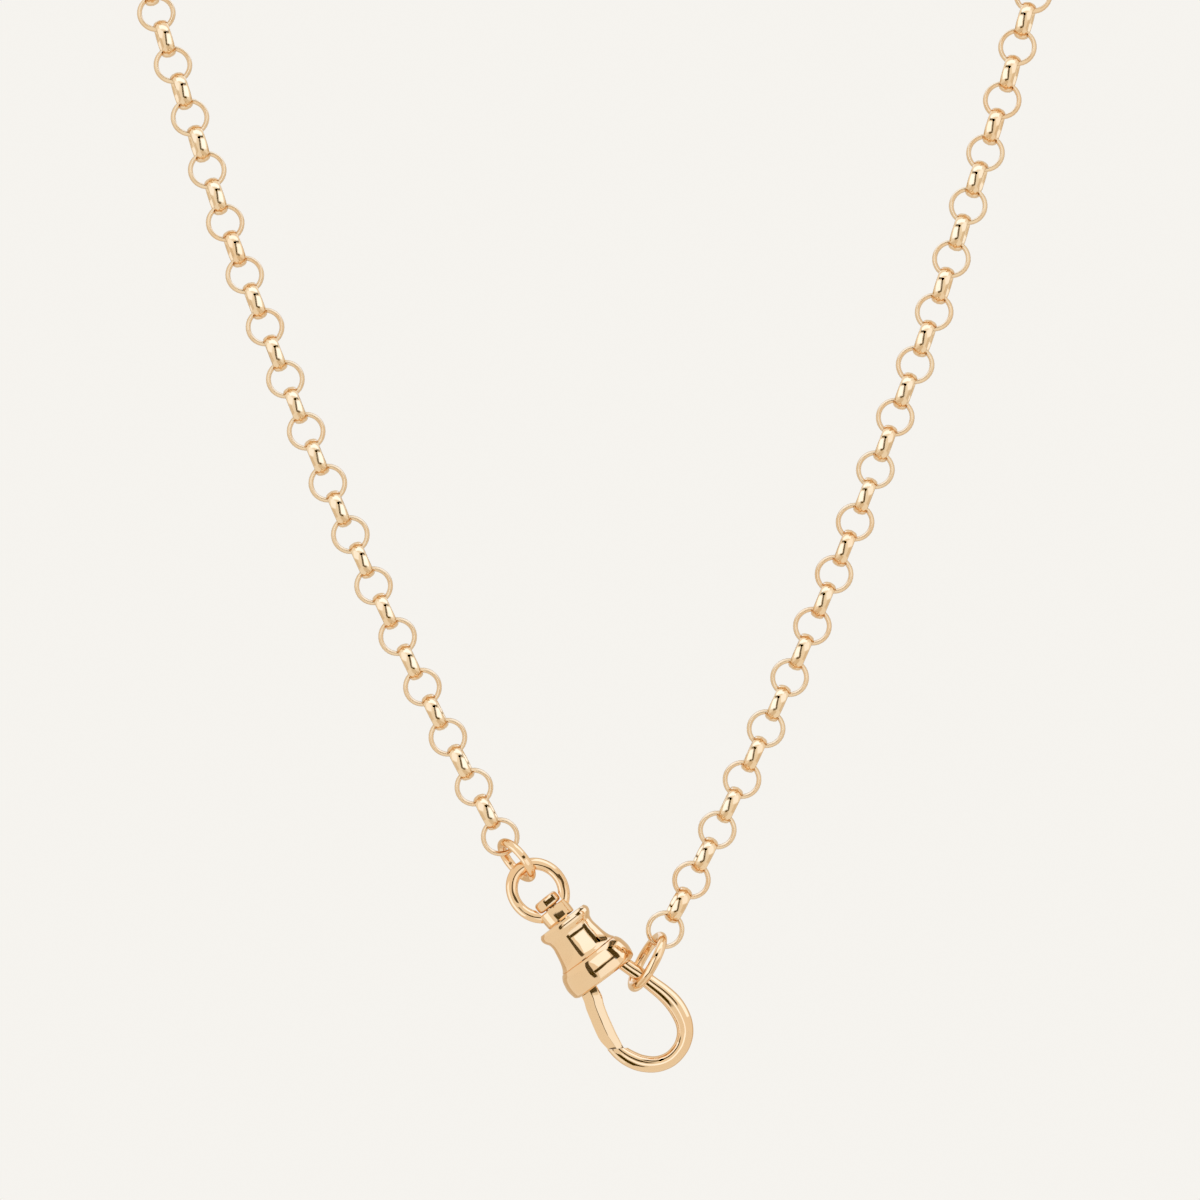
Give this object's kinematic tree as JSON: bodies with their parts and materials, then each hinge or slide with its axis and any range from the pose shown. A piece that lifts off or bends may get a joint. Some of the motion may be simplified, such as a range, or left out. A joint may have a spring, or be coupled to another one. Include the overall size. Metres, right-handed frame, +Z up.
{
  "type": "rolo chain necklace",
  "caption": "Rolo chain necklace of round domed links, closed at the front by a swivel snap clasp whose hook also takes a charm.",
  "frame": {"origin": "middle of the link that lies on the back of the neck", "axes": "+Z up, -Y towards the front, where the clasp hangs, +X to the right as seen from the front"},
  "size_m": [0.105, 0.0867, 0.1516],
  "materials": {
    "gold": "polished yellow gold"
  },
  "bodies": {
    "necklace": {"chain_left": "gold", "chain_right": "gold", "jump_ring_left": "gold", "jump_ring_right": "gold", "swivel_ring": "gold", "swivel_rivet": "gold", "clasp_body": "gold", "gate_pin": "gold"},
    "gate": {"gate": "gold"}
  },
  "joints": [
    {"name": "gate_hinge", "type": "hinge", "parent": "necklace", "child": "gate", "pos_m": [-0.00104, -0.082, -0.14256], "axis": [0, -1, 0], "range_deg": [0, 25], "stiffness_Nm_per_rad": 0.002, "springref_deg": -11.46}
  ]
}
